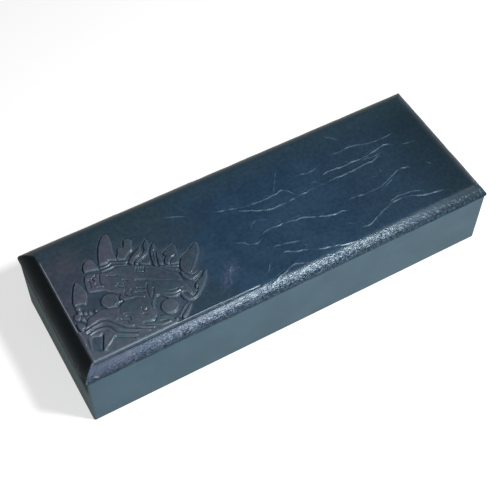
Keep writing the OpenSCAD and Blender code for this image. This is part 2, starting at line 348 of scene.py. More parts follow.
# Lines that stand up, and then lines that are cut in, in tenths of a mm
BANDS = [
    [(-172, 79), (-152, 87), (-136, 99), (-125, 111), (-106, 112), (-60, 114), (-48, 122)],
    [(-164, 61), (-142, 73), (-120, 87), (-108, 94), (-80, 97), (-52, 100)],
    [(110, 94), (136, 89), (157, 81), (187, 81)],
    [(132, 100), (168, 97), (196, 103)],
    [(280, 220), (283, 180), (278, 146), (272, 110), (260, 70)],
    [(114, -49), (138, -56), (164, -57), (190, -50), (210, -36)],
    [(-86, -126), (-66, -103), (-46, -94), (-16, -86), (6, -78), (46, -77)],
    [(-204, -272), (-182, -254), (-156, -234), (-134, -223), (-112, -223), (-88, -234), (-60, -250),
     (-36, -254), (-3, -256), (46, -254), (84, -256)],
    [(-184, -286), (-158, -264), (-130, -252), (-110, -252), (-84, -270), (-62, -280), (-30, -280),
     (27, -282)],
    [(-242, -270), (-222, -290), (-208, -314), (-196, -340)],
    [(-187, -304), (-178, -333), (-166, -360)],
    [(68, -226), (104, -225), (139, -224), (174, -208)],
    [(242, -116), (229, -144), (219, -172)],
    [(-180, -30), (-166, -24), (-150, -24)],
    [(89, -98), (89, -120), (92, -136)],
    [(-112, -362), (-90, -316), (-74, -286)],
    [(-204, 28), (-188, 10), (-188, -12)],
    [(-30, -232), (0, -234), (16, -228), (32, -239), (66, -242), (102, -239)],
]
CUTS = [
    [(-60, 12), (-39, 12)],
    [(0, 11), (24, 11), (50, 10)],
    [(-87, -22), (-66, -26), (-44, -22)],
    [(-80, -10), (-76, -10)],
    [(-55, -10), (-51, -10)],
    [(10, -32), (44, -32)],
    [(6, -54), (48, -54)],
    [(0, 83), (0, 59), (33, 59), (33, 83)],
    [(11, 79), (11, 66)],
    [(22, 79), (22, 66)],
    [(-172, 44), (-170, 20), (-166, 0), (-154, -18)],
    [(-192, 33), (-204, 15), (-190, 6)],
    [(-220, 8), (-208, -12), (-204, -32)],
    [(74, 184), (72, 157), (80, 126)],
    [(175, 156), (163, 146), (156, 126), (154, 110)],
    [(54, -6), (56, -36), (64, -62), (76, -86)],
    [(86, -28), (88, -56), (84, -84)],
    [(-44, -46), (-46, -64), (-34, -72)],
    [(-16, -40), (-18, -58)],
    [(40, -142), (46, -153), (58, -153), (64, -144)],
    [(49, -172), (65, -172)],
    [(109, -185), (103, -204), (85, -215), (56, -217)],
    [(-29, -186), (-12, -188), (-6, -204)],
    [(-48, -204), (-22, -208), (-14, -218)],
    [(-215, -267), (-192, -247), (-167, -228), (-146, -211), (-121, -206), (-103, -211),
     (-81, -221), (-60, -229), (-30, -243), (0, -246), (50, -249), (90, -248)],
    [(-196, -282), (-168, -256), (-139, -241), (-114, -236), (-92, -246), (-67, -264), (-39, -267),
     (29, -269)],
    [(-64, -294), (-30, -295), (18, -296)],
    [(134, -206), (160, -200)],
    [(-132, 34), (-110, 32), (-92, 36)],
]
# The rim of the die, in mm: where its left and front lines run on the lid, and where each ends
DIE_LEFT = -102.8
DIE_FRONT = -33.3
DIE_BACK = 27.4
DIE_END = -38.0
# How far each part is drawn up or down and swells in its middle, and how wide lines are, in mm
HEAD_H, HEAD_MORE, GAP_H = 0.42, 0.15, -0.1
FLAME_H, FLAME_DISH = 0.46, 0.08
HORN_H, HORN_DISH, HOOK_DISH = 0.54, 0.12, 0.1
EYE_H, EYE_BASE = 0.26, 0.36
CURL_H, CURL_BASE = 0.3, 0.26
CUT_H, CUT_W = -0.34, 0.34
BAND_H, BAND_W = 0.3, 0.4
# The drawing is then made this much stronger, up to a height
STRONGER, HIGHEST = 1.45, 1.05


def on_lid(points):
    """Places a drawing of the ornament on the lid."""
    p = np.asarray(points, float)
    c, s = math.cos(ORNAMENT_TURN), math.sin(ORNAMENT_TURN)
    return np.column_stack([ORNAMENT_AT[0] + c * p[:, 0] - s * p[:, 1],
                            ORNAMENT_AT[1] + s * p[:, 0] + c * p[:, 1]])


def outline(points):
    """The closed outline of a part of the ornament, on the lid."""
    return on_lid(smooth_line(points, closed=True))


def emboss(relief):
    """Draws the ornament on the relief."""
    relief.plate(outline(HEAD), HEAD_H)
    for part in (FOREHEAD, BROW, NOSE, CHEEK):
        relief.lift(outline(part), HEAD_MORE)
    for flame in FLAMES:
        relief.plate(outline(flame), FLAME_H, FLAME_DISH)
    for horn in HORNS:
        relief.plate(outline(horn), HORN_H, HORN_DISH)
    for hook in HOOKS:
        relief.plate(outline(hook), HORN_H, HOOK_DISH)
    for centre, radii in EYES:
        relief.dome(on_lid([centre])[0], radii, EYE_H, EYE_BASE)
    for centre, radius in CURLS:
        relief.dome(on_lid([centre])[0], (radius, radius), CURL_H, CURL_BASE)
    relief.sink(outline(GAP), GAP_H)
    relief.plate(outline(FANG), HORN_H, HOOK_DISH)
    for line in CUTS:
        relief.stroke(on_lid(smooth_line(line)), CUT_H, CUT_W)
    for line in BANDS:
        relief.stroke(on_lid(smooth_line(line)), BAND_H, BAND_W)


def press_ornament(relief):
    """Presses the ornament into the relief, and says where the leather is rubbed."""
    emboss(relief)
    pressed = step((relief.x - DIE_LEFT) / 0.5) * step((relief.y - DIE_FRONT) / 0.5)
    relief.h = np.minimum(relief.h * STRONGER * pressed, HIGHEST)
    rubbed = smoothed(np.clip(relief.h / 0.36, 0, 1), 4, 7, 10, 7, 4)
    by_corner = pressed * step((-24 - relief.y) / 5) * step((-58 - relief.x) / 14)
    return np.maximum(rubbed, by_corner)


# Creases of the hide: how strong each is, and its line across the lid in tenths of a mm
CREASES = [
    (0.8, [(-420, 245), (-360, 215), (-295, 185)]),
    (1.0, [(-175, 148), (-135, 132), (-95, 122), (-50, 108), (10, 98), (60, 92), (150, 92),
        (185, 98), (215, 82), (235, 48)]),
    (0.5, [(235, 228), (195, 172), (160, 122), (155, 92)]),
    (1.0, [(-75, 98), (0, 58), (60, 32), (105, 22), (165, 22), (260, 28), (320, 32), (475, 32),
        (565, 32), (650, 38), (695, 38), (755, 62)]),
    (1.2, [(335, 68), (390, 62)]),
    (1.1, [(400, 82), (465, 88), (545, 82), (615, 82), (670, 78), (700, 82), (750, 92), (795, 98),
        (830, 92), (855, 62)]),
    (0.6, [(855, 62), (895, 58), (930, 48), (975, 38)]),
    (0.7, [(280, 148), (320, 142), (370, 132), (410, 138)]),
    (0.9, [(520, 172), (580, 172), (645, 172), (700, 158), (765, 142), (845, 142), (895, 142)]),
    (0.5, [(-60, -32), (-40, -12), (-5, -2), (40, -18), (70, -38), (90, -68)]),
    (0.6, [(175, 8), (190, -28)]),
    (1.2, [(-30, -88), (15, -78), (65, -78), (115, -82), (160, -92), (200, -98), (265, -128),
        (325, -152), (385, -158), (430, -162)]),
    (0.8, [(-185, -62), (-160, -72), (-130, -92), (-115, -108), (-80, -122), (-45, -112),
        (-25, -92)]),
    (0.5, [(-245, 28), (-230, 18)]),
    (-0.8, [(-15, -112), (-40, -162)]),
    (1.0, [(-20, -178), (25, -182), (75, -198), (125, -212)]),
    (1.0, [(-5, -232), (20, -228), (50, -248), (85, -258), (130, -278), (175, -298), (210, -308),
        (250, -318), (295, -332), (360, -344)]),
    (0.5, [(100, -228), (150, -258)]),
    (0.7, [(620, 72), (720, 62), (770, 72)]),
    (0.6, [(600, -38), (645, -48), (680, -58)]),
    (0.6, [(330, 142), (365, 138), (395, 132), (435, 148)]),
    (0.9, [(440, -112), (490, -112), (535, -122), (585, -122), (630, -122), (680, -108), (735, -88),
        (785, -72), (840, -88)]),
    (1.1, [(410, -282), (455, -292), (515, -272), (580, -248), (630, -232), (680, -232),
        (725, -238), (780, -262), (835, -278), (925, -292)]),
    (0.9, [(605, -232), (635, -218), (675, -212), (720, -218), (770, -228), (810, -242)]),
    (0.4, [(540, 318), (590, 268), (645, 208)]),
    (0.9, [(85, -334), (55, -323), (25, -314), (-10, -320), (-35, -328), (-60, -333), (-100, -346),
        (-145, -357), (-170, -364), (-200, -375), (-225, -382)]),
    (0.6, [(-65, -238), (-90, -268), (-110, -292), (-125, -292)]),
    (0.4, [(-65, -172), (-85, -198)]),
    (0.8, [(-245, -162), (-250, -182), (-270, -202), (-270, -232)]),
    (0.8, [(-220, -162), (-225, -192), (-250, -202), (-245, -228)]),
    (0.8, [(-275, -182), (-260, -198), (-235, -208)]),
    (0.6, [(-290, -222), (-285, -252), (-310, -272)]),
    (0.7, [(-205, -182), (-220, -202), (-220, -232)]),
    (0.7, [(-350, -341), (-325, -339), (-300, -338), (-285, -352)]),
    (-0.8, [(-70, -359), (-95, -376), (-115, -385)]),
    (0.7, [(605, -150), (655, -129), (700, -116), (750, -104)]),
    (0.4, [(695, -7), (690, -40), (680, -65)]),
    (-0.5, [(570, -160), (560, -185), (540, -218)]),
    (0.4, [(915, -84), (935, -107), (965, -141)]),
    (0.4, [(345, -213), (375, -234), (405, -252)]),
    (0.3, [(160, -210), (190, -206), (220, -218)]),
    (0.3, [(-205, -120), (-235, -143)]),
]
# Heights and widths in mm of creases, and of the fainter ones beside those at least this strong
CREASE_H, CREASE_W = 0.3, 0.34
BESIDE_H, BESIDE_W, STRONG = 0.12, 0.3, 0.9
# The same of the die's lines, the step outside them and the groove along the front edge
FRAME_H, FRAME_W = 0.36, 0.24
OUTER_H, OUTER_W = -0.42, 0.32
GROOVE_H, GROOVE_W = -0.24, 0.42
# A place this far above the leather near it counts as fully rubbed, and one this far below as fully
# in painted shade
FULL_WEAR_AND_SHADE = 0.16
# How far the skin of the CAD leather is lifted out of the worked surface's way
SKIN_LIFT = 1.15


def draw_creases(relief):
    """Adds the creases, each wavering and broken."""
    for i, (strength, crease) in enumerate(CREASES):
        line = smooth_line(crease)
        wobble = ripple(line[:, 0], line[:, 1], 1.6, 10)[:, None] * (0.15, 0.35)
        height = CREASE_H * (strength if strength < 0 else 0.3 + 0.75 * strength)
        relief.stroke(line + wobble, height, CREASE_W, fade=4, broken=0.75)
        if strength >= STRONG:
            part = slice(i % 3, len(line) * 2 // 3 + i % 3)
            beside = line[part] - wobble[part] + (0.4, 1.0 + 0.3 * (i % 3))
            relief.stroke(beside, BESIDE_H, BESIDE_W, fade=5, broken=0.9)


def draw_rim(relief):
    """Adds the lines of the die, the step outside them and the groove by the front edge."""
    frame_line = np.array([(DIE_LEFT, DIE_BACK), (DIE_LEFT, DIE_FRONT), (DIE_END, DIE_FRONT)])
    relief.stroke(frame_line, FRAME_H, FRAME_W)
    outer = np.array([(DIE_LEFT - 0.6, DIE_FRONT - 0.6), (DIE_END + 20, DIE_FRONT - 0.6)])
    relief.stroke(outer, OUTER_H, OUTER_W, fade=12)
    xs = np.arange(8 - LID_X, LID_X - 8, 2.5)
    ys = 1.25 - LID_Y + 0.5 * ripple(xs, xs, 6, 11)
    relief.stroke(np.column_stack([xs, ys]), GROOVE_H, GROOVE_W, fade=6, broken=0.7)


def lid_grid():
    """The places for the lid's heights, closest at its edges and on the die's lines."""
    end, side = LID_X - 0.8, LID_Y - 0.8
    xs = spaced((-LID_X, -end, FINE), (-end, DIE_LEFT - 0.9, 0.38),
                (DIE_LEFT - 0.9, DIE_LEFT + 0.8, 0.17), (DIE_LEFT + 0.8, DIE_END, 0.25),
                (DIE_END, end, 0.45), (end, LID_X, FINE))
    ys = spaced((-LID_Y, -side, FINE), (-side, DIE_FRONT - 0.9, 0.27),
                (DIE_FRONT - 0.9, DIE_FRONT + 0.8, 0.17), (DIE_FRONT + 0.8, 28, 0.26),
                (28, side, 0.5), (side, LID_Y, FINE))
    return Relief(xs, ys)


def bevel_arc(inset):
    """Height of the bevel's arc over the lid's underside."""
    return np.sqrt(BEVEL_R ** 2 - (BEVEL_IN - np.minimum(inset, BEVEL_W)) ** 2) - BEVEL_DOWN


def plain_form(x, y, inset):
    """The lid's top and bevel before any marks, meeting crisply near the ornament."""
    bevel = bevel_arc(inset) + BEVEL_END * np.clip(inset - BEVEL_W, 0, None)
    crisp = np.maximum(step((-96 - x) / 6), step((DIE_END - x) / 6) * step((-20 - y) / 6))
    height = soft_min(bevel, np.full_like(bevel, LID_H), 0.1 - 0.075 * crisp)
    return height + 0.035 * ripple(x, y, 9, 1) * step(inset / 3)


def front_crinkles(x, y, inset):
    """The cracks low on the front bevel, and the soft swell of all of it."""
    front = step((BEVEL_W + 1 - inset) / 2) * step((-25 - y) / 6) * step(inset / 0.5)
    reach = 3.6 + 1.6 * step((x + 45) / 60) + 1.0 * ripple(x, y, 7, 9)
    lower = front * step((reach - inset) / 2) * (0.75 + 0.25 * step((x + 60) / 60))
    across, along = y + 0.3 * x, 0.55 * x
    cracks = 0.26 * np.exp(-(ripple(along, across, 1.2, 2) / 0.15) ** 2)
    cracks += 0.14 * np.exp(-(ripple(along, across, 0.7, 6) / 0.2) ** 2)
    crinkles = lower * (0.08 * ripple(along, across, 0.9, 7) + 0.11 - cracks)
    return crinkles, 0.05 * front * ripple(x, y, 3.4, 3)


def rolled_edge(x, y, inset):
    """Heights of the lid's lower edge: an uneven roll, then out of the way."""
    roll = 0.35 + 0.3 * (0.5 + 0.5 * ripple(x, y, 4.5, 4))
    part = np.clip(roll - inset, 0, None)
    low = roll - np.sqrt(np.clip(roll ** 2 - part ** 2, 0, None))
    return np.where(inset < roll, low, -0.5 * step((inset - roll) / 0.5))


def wear_and_shade_map(relief):
    """Up to 1 on crests, for wear and painted highlight, and to -1 in hollows for painted shade,
    less on sides that face right towards the light.
    """
    around = smoothed(relief.h, 1, 2, 1)
    wear_and_shade = np.clip((relief.h - around) / FULL_WEAR_AND_SHADE, -1, 1)
    return wear_and_shade * np.where(wear_and_shade < 0, 0.4 + 0.6 * facing_left(around), 1)


def lid_heights(relief):
    """The lid's outer surface, its lower edge, how far in each place is, and where rubbed."""
    x, y = relief.x, relief.y
    from_end, from_side = LID_X - np.abs(x), LID_Y - np.abs(y)
    inset = np.clip(soft_min(from_end, from_side, 0.2), 0, None)
    crinkles, swell = front_crinkles(x, y, inset)
    height = plain_form(x, y, inset) + swell
    rubbed = press_ornament(relief)
    draw_creases(relief)
    relief.h += crinkles
    draw_rim(relief)
    mitre = np.abs(from_end - from_side) / math.sqrt(2)
    pinch = np.exp(-(mitre / 0.35) ** 2) * step(inset / 0.6) * step((BEVEL_W + 0.5 - inset) / 1.5)
    height += relief.h + 0.14 * pinch
    return height, rolled_edge(x, y, inset), inset, rubbed


def lid_places(relief, inset):
    """Where the grid's places lie in plan: rounded corners and an uneven edge."""
    x, y = relief.x, relief.y
    from_end, from_side = LID_X - np.abs(x), LID_Y - np.abs(y)
    px, py = CORNER_R - from_end, CORNER_R - from_side
    corner = (px > 0) & (py > 0)
    scale = np.where(corner, np.maximum(px, py) / np.maximum(np.hypot(px, py), 1e-9), 1)
    qx = np.where(corner, LID_X - CORNER_R + px * scale, np.abs(x))
    qy = np.where(corner, LID_Y - CORNER_R + py * scale, np.abs(y))
    draw_in = 0.38 * (0.5 + 0.5 * ripple(x, y, 6, 5)) * np.exp(-inset / 1.2)
    return np.sign(x) * (qx - draw_in), np.sign(y) * (qy - draw_in)


def grid_solid(name, x, y, top, low):
    """A closed solid between two sheets of heights over the same grid."""
    rows, cols = x.shape
    count = rows * cols
    index = np.arange(count).reshape(rows, cols)
    a, b = index[:-1, :-1].ravel(), index[:-1, 1:].ravel()
    c, d = index[1:, 1:].ravel(), index[1:, :-1].ravel()
    rim = np.concatenate([index[0, :-1], index[:-1, -1], index[-1, :0:-1], index[:0:-1, 0]])
    after = np.roll(rim, -1)
    faces = np.vstack([np.column_stack([a, b, c, d]),
                       np.column_stack([d, c, b, a]) + count,
                       np.column_stack([after, rim, rim + count, after + count])])
    points = [np.column_stack([x.ravel(), y.ravel(), z.ravel()]) for z in (top, low)]
    mesh = bpy.data.meshes.new(name)
    mesh.from_pydata((np.vstack(points) * MM).tolist(), [], faces.tolist())
    return bpy.data.objects.new(name, mesh)


def thick_copy(node):
    """The CAD leather with its outer skin lifted, for the worked surface to trim."""
    bm = bmesh.new()
    bm.from_mesh(node.data)
    bmesh.ops.remove_doubles(bm, verts=bm.verts, dist=1e-7)
    for v in bm.verts:
        x, y, z = v.co.x / MM, v.co.y / MM - LID_SHIFT, v.co.z / MM - LID_LOW
        inset = min(LID_X - abs(x), LID_Y - abs(y))
        px, py = abs(x) - LID_X + CORNER_R, abs(y) - LID_Y + CORNER_R
        cornered = px > 0 and py > 0 and math.hypot(px, py) > CORNER_R - 0.02
        if z > min(bevel_arc(inset), LID_H) - 0.03:
            v.co.z += SKIN_LIFT * MM
        if inset < 0.01 or cornered:
            v.co.x += math.copysign(SKIN_LIFT, x) * MM * (px > 0)
            v.co.y += math.copysign(SKIN_LIFT, y) * MM * (py > 0)
    mesh = bpy.data.meshes.new("thick")
    bm.to_mesh(mesh)
    bm.free()
    return bpy.data.objects.new("thick", mesh)


def trimmed(piece, cutter, name, keep):
    """The part of a closed solid inside another, with a share of its triangles."""
    show(piece)
    show(cutter)
    cut = piece.modifiers.new("trim", "BOOLEAN")
    cut.operation = "INTERSECT"
    cut.solver = "MANIFOLD"
    cut.object = cutter
    thin = piece.modifiers.new("thin", "DECIMATE")
    thin.ratio = keep
    graph = bpy.context.evaluated_depsgraph_get()
    mesh = bpy.data.meshes.new_from_object(piece.evaluated_get(graph))
    bpy.data.objects.remove(piece)
    bpy.data.objects.remove(cutter)
    mesh.name = name
    result = bpy.data.objects.new(name, mesh)
    show(result)
    return result


def nearest(places, x):
    """Which place lies nearest to each x."""
    i = np.clip(np.searchsorted(places, x), 1, len(places) - 1)
    return i - (x - places[i - 1] < places[i] - x)


def paint(mesh, relief, name, values):
    """Stores a grid's values on a mesh's outer points."""
    places = np.empty(3 * len(mesh.vertices))
    mesh.vertices.foreach_get("co", places)
    x, y, z = (places.reshape(-1, 3) / MM).T
    cols, rows = nearest(relief.xs, x), nearest(relief.ys, y - LID_SHIFT)
    outer = z > LID_LOW + 0.05
    layer = mesh.attributes.new(name, "FLOAT", "POINT")
    layer.data.foreach_set("value", np.where(outer, values[rows, cols], 0).astype(np.float32))


def make_lid_cover(material):
    """The lid's leather, worked outside and as in the CAD inside."""
    relief = lid_grid()
    height, low, inset, rubbed = lid_heights(relief)
    x, y = lid_places(relief, inset)
    worked = grid_solid("worked", x, y + LID_SHIFT, LID_LOW + height, LID_LOW + low)
    cover = trimmed(thick_copy(frame["nodes"]["lid_leather"]), worked, "lid_cover", 0.5)
    cover.data.materials.clear()
    cover.data.materials.append(material)
    cover.data.shade_smooth()
    cover.data.set_sharp_from_angle(angle=math.radians(62))
    from_end, from_side = relief.x + LID_X, LID_Y - np.abs(relief.y)
    # Painted shade: marks the left end's bevel, which faces away from the light, to be coloured
    # near black
    end_bevel_shade = step((from_side - from_end) / 0.5) * step((BEVEL_W + 1.0 - from_end) / 0.8)
    # Crests paler from wear and painted highlight, hollows darker as painted shade
    paint(cover.data, relief, "wear_and_shade", wear_and_shade_map(relief))
    paint(cover.data, relief, "rubbed", rubbed)
    paint(cover.data, relief, "end_bevel_shade", end_bevel_shade)
    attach(cover, "lid")
    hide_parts("lid_leather")


class Shader:
    """The nodes of a material, or of a world, under construction."""

    def __init__(self, name, kind=bpy.data.materials):
        self.owner = kind.new(name)
        self.owner.use_nodes = True
        self.tree = self.owner.node_tree
        self.tree.nodes.clear()

    def add(self, kind, inputs, **settings):
        """A new node, its inputs linked to sockets or set to values."""
        node = self.tree.nodes.new("ShaderNode" + kind)
        for key, value in settings.items():
            setattr(node, key, value)
        for key, value in inputs.items():
            socket = node.inputs[key]
            if isinstance(value, bpy.types.NodeSocket):
                self.tree.links.new(value, socket)
            else:
                socket.default_value = (*value, 1) if socket.type == "RGBA" else value
        return node

    def place(self):
        """Where a point lies on its piece, in mm."""
        at = self.add("TexCoord", {}).outputs["Object"]
        return self.add("VectorMath", {0: at, "Scale": 1000}, operation="SCALE").outputs[0]

    def axes(self, at):
        return self.add("SeparateXYZ", {0: at}).outputs

    def stretched(self, at, factors):
        """A place with each axis multiplied by its own factor."""
        return self.add("VectorMath", {0: at, 1: factors}, operation="MULTIPLY").outputs[0]

    def turned(self, at, middle, degrees, scale):
        """A place measured from a middle, along turned and stretched axes."""
        inputs = {"Vector": at, "Location": middle, "Rotation": (0, 0, math.radians(degrees)),
                  "Scale": scale}
        return self.add("Mapping", inputs, vector_type="TEXTURE").outputs[0]

    def length(self, at):
        return self.add("VectorMath", {0: at}, operation="LENGTH").outputs["Value"]

    def stored(self, name):
        return self.add("Attribute", {}, attribute_name=name).outputs["Fac"]

    def noise(self, vector, scale, detail=2, rough=0.5):
        inputs = {"Vector": vector, "Scale": scale, "Detail": detail, "Roughness": rough}
        return self.add("TexNoise", inputs).outputs["Fac"]

    def spread(self, value, low, high, to_low=0, to_high=1):
        """Goes smoothly from to_low at low to to_high at high."""
        inputs = {"Value": value, "From Min": low, "From Max": high,
                  "To Min": to_low, "To Max": to_high}
        return self.add("MapRange", inputs, interpolation_type="SMOOTHSTEP").outputs["Result"]

    def math(self, operation, a, b=0):
        return self.add("Math", {0: a, 1: b}, operation=operation).outputs[0]

    def times(self, product, *factors):
        for factor in factors:
            product = self.math("MULTIPLY", product, factor)
        return product

    def mix(self, factor, a, b, blend="MIX"):
        node = self.add("Mix", {0: factor, 6: a, 7: b}, data_type="RGBA", blend_type=blend)
        return node.outputs[2]

    def shade(self, colour, factor):
        """The colour made lighter or darker by a factor."""
        grey = self.add("CombineColor", {0: factor, 1: factor, 2: factor}).outputs[0]
        return self.mix(1, colour, grey, blend="MULTIPLY")

    def bump(self, height, strength, distance, under=None):
        inputs = {"Height": height, "Strength": strength, "Distance": distance}
        if under is not None:
            inputs["Normal"] = under
        return self.add("Bump", inputs).outputs["Normal"]

    def finish(self, shader, output="OutputMaterial"):
        """Shows a shader, and gives the finished material or world."""
        self.add(output, {"Surface": shader.outputs[0]})
        return self.owner

    def surface(self, colour, rough, normal, plain):
        """The finished material, from what varies and what is the same all over."""
        inputs = {"Base Color": colour, "Roughness": rough, "Normal": normal, **plain}
        return self.finish(self.add("BsdfPrincipled", inputs))


# The way across the ornament, along which it turns from violet to dim
ACROSS = (0.866, -0.5, 0)


def lid_ground(s, at, x, y, cloud, end):
    """Layers of the plain hide: paler by the left rim, with a scuff and a mottled part."""
    by_rim = s.times(s.spread(x, -78, -95), s.spread(cloud, 0, 1, 1, 0.5))
    scuff_at = s.turned(at, (-28, -21, 40.5), 48, (2.6, 1, 1))
    speckle = s.spread(s.noise(scuff_at, 0.8, 4, 0.7), 0.4, 0.56)
    scuff = s.times(s.spread(s.length(scuff_at), 4.8, 1.2), speckle, 0.7)
    blotch = s.spread(s.noise(at, 0.22, 5, 0.7), 0.48, 0.62)
    mottled = s.times(s.spread(x, -20, -60), s.spread(y, 2, 20), blotch, 0.4)
    return [(end, (0.015, 0.03, 0.048)), (by_rim, (0.04, 0.043, 0.062)),
            (scuff, (0.046, 0.058, 0.1)), (mottled, (0.034, 0.05, 0.056))]


def lid_ornament(s, at, y, z, rubbed, end):
    """Layers of the ornament: rubbed round it, mauve, green, violet and dim on it, paler to the
    front as painted light.
    """
    # Painted light: the ground and raised parts paler towards the front, where light falls from the
    # front
    lit_near_front = s.spread(y, -10, -30)
    pressed = s.mix(lit_near_front, (0.027, 0.043, 0.066), (0.04, 0.058, 0.084))
    mauve = s.mix(lit_near_front, (0.042, 0.048, 0.068), (0.054, 0.066, 0.091))
    green = s.mix(lit_near_front, (0.029, 0.048, 0.064), (0.041, 0.065, 0.083))
    tone = s.spread(s.noise(at, 0.16, 3, 0.6), 0.38, 0.62)
    raised = s.times(end, s.spread(z, 40.62, 40.9))
    across = s.add("VectorMath", {0: at, 1: ACROSS}, operation="DOT_PRODUCT").outputs["Value"]
    violet = s.times(raised, s.spread(across, -63, -74, 0, 0.62))
    dim = s.times(s.spread(across, -62, -50, 0, 0.4), s.spread(y, -24, -10))
    return [(s.times(s.spread(rubbed, 0.12, 0.55), 0.95), pressed),
            (raised, s.mix(tone, mauve, green)), (violet, (0.06, 0.06, 0.086)),
            (s.times(raised, dim), (0.012, 0.026, 0.046))]


def lid_wear_and_shade(s, x, y, wear_and_shade, stamped, lower):
    """Layers of painted shade in hollows, crests pale from wear and painted highlight, and the
    die's lines pale as painted highlight.
    """
    # Painted shade: hollows darkened, more on sides that face left, away from the light
    hollow_shade = s.times(s.spread(wear_and_shade, -0.12, -0.9), s.spread(stamped, 0, 1, 0.9, 0.86))
    # Crests paler, partly from wear and partly as painted highlight
    crest_wear_and_highlight = s.times(s.spread(wear_and_shade, 0.12, 0.7), s.spread(stamped, 0, 1, 0.78, 0.16),
                    s.spread(lower, 0, 1, 1, 0.4))
    # Painted highlight: the die's raised left and front lines painted pale where the light catches
    # them
    left_line_glint = s.times(s.spread(x, -101.9, -102.3), s.spread(wear_and_shade, 0.1, 0.5))
    front_line_glint = s.times(s.spread(y, -32.1, -32.4), s.spread(y, -33.1, -32.8),
                         s.spread(wear_and_shade, 0.2, 0.6), s.spread(x, -20, -50, 0, 0.8))
    return [(hollow_shade, (0.003, 0.008, 0.012)), (crest_wear_and_highlight, (0.078, 0.142, 0.2)),
            (left_line_glint, (0.15, 0.17, 0.19)), (front_line_glint, (0.16, 0.2, 0.23))]


def lid_bumps(s, at, front, lower, crinkle):
    """Crinkles, cracks and pebble on the front bevel, and fine grain all over."""
    low_part = s.spread(lower, 0, 1, 0.1, 1)
    normal = s.bump(s.times(crinkle, low_part), 0.7, 0.0008)
    crack_at = s.turned(at, (0, 0, 0), 8, (3.4, 1, 1))
    crack = s.math("ABSOLUTE", s.math("SUBTRACT", s.noise(crack_at, 0.75, 3, 0.55), 0.5))
    crack = s.times(s.spread(crack, 0, 0.06), low_part, front)
    normal = s.bump(crack, 0.6, 0.0006, normal)
    pebble = s.times(s.noise(at, 1.1, 2, 0.6), front)
    normal = s.bump(pebble, 0.24, 0.0006, normal)
    return s.bump(s.noise(at, 1.6, 2, 0.5), 0.12, 0.0002, normal)


def lid_leather_material():
    """Navy hide, greyer and rubbed at the embossed end, with painted shade near black on its end
    bevel.
    """
    s = Shader("embossed_leather")
    at = s.place()
    x, y, z = s.axes(at)
    wear_and_shade, rubbed, end_bevel_shade = s.stored("wear_and_shade"), s.stored("rubbed"), s.stored("end_bevel_shade")
    cloud = s.spread(s.noise(at, 0.06, 3), 0.35, 0.65)
    fine = s.noise(at, 0.5, 4, 0.6)
    crinkle = s.noise(s.stretched(at, (0.55, 1.3, 1.3)), 0.9, 3, 0.65)
    end = s.spread(s.math("ADD", x, s.spread(cloud, 0, 1, -6, 6)), -22, -46)
    stamped = s.math("MAXIMUM", end, s.spread(rubbed, 0.05, 0.3))
    front = s.spread(y, -32.5, -34.5)
    lower = s.times(front, s.spread(z, 39.2, 37.2))
    # Painted shade: the low, steep foot of the front bevel darkened, most in its cracks
    foot = s.times(front, s.spread(z, 37.7, 36.4), s.spread(crinkle, 0.62, 0.46, 0.2, 0.95))

    colour = s.mix(cloud, (0.008, 0.025, 0.05), (0.012, 0.033, 0.063))
    layers = lid_ground(s, at, x, y, cloud, end) + lid_ornament(s, at, y, z, rubbed, end)
    layers += [(s.spread(x, 20, 60, 0, 0.6), (0.008, 0.021, 0.037)),
               (s.times(s.spread(x, 70, 104), 0.85), (0.0045, 0.013, 0.02)),
               (s.times(s.spread(y, 18, 36), 0.6), (0.014, 0.031, 0.041)),
               # Painted light: the back bevel paler, standing in for light from behind
               (s.spread(y, 35.8, 38.4), (0.042, 0.05, 0.044)),
               (s.times(front, s.spread(x, 10, -50), 0.7), (0.022, 0.036, 0.082)),
               # Painted shade on the front bevel's foot
               (foot, (0.002, 0.016, 0.028))]
    layers += lid_wear_and_shade(s, x, y, wear_and_shade, stamped, lower)
    # Painted shade: the left end's bevel near black
    layers += [(end_bevel_shade, (0.0015, 0.0022, 0.0028))]
    for share, layer in layers:
        colour = s.mix(share, colour, layer)
    colour = s.shade(colour, s.spread(fine, 0.3, 0.7, 0.88, 1.12))

    ends = s.math("ADD", s.spread(x, 45, 100, -0.04, 0.36), s.spread(x, -80, -104, 0, 0.2))
    duller = s.math("ADD", s.times(front, ends), s.times(foot, 0.32))
    rough = s.math("ADD", s.spread(fine, 0.3, 0.7, 0.34, 0.41), duller)
    normal = lid_bumps(s, at, front, lower, crinkle)
    return s.surface(colour, rough, normal, {"Specular Tint": (0.8, 0.95, 1)})


def body_leather_material():
    """Smooth teal-navy hide, with painted shade on the left end: darker there and near black under
    the lid.
    """
    s = Shader("smooth_leather")
    at = s.place()
    x, _, z = s.axes(at)
    cloud = s.spread(s.noise(at, 0.05, 3), 0.35, 0.65)
    colour = s.mix(cloud, (0.029, 0.073, 0.102), (0.037, 0.086, 0.118))
    # Painted shade: the left end face darker and greener than the rest
    colour = s.mix(s.spread(x, -108.5, -109.9), colour, (0.018, 0.06, 0.066))
    # Painted shade: near black at the top of the left end face, under the lid, and rougher there
    shade_under_rim = s.times(s.spread(x, -109.2, -109.9), s.spread(z, 21, 33, 0, 0.95))
    colour = s.mix(shade_under_rim, colour, (0.001, 0.01, 0.01))
    fine = s.noise(at, 0.8, 4, 0.6)
    colour = s.shade(colour, s.spread(fine, 0.3, 0.7, 0.88, 1.12))
    rough = s.math("ADD", s.spread(fine, 0.3, 0.7, 0.42, 0.5), s.times(shade_under_rim, 0.4))
    normal = s.bump(s.noise(at, 2.4, 4, 0.6), 0.25, 0.0003)
    return s.surface(colour, rough, normal, {"Specular IOR Level": 0.3})


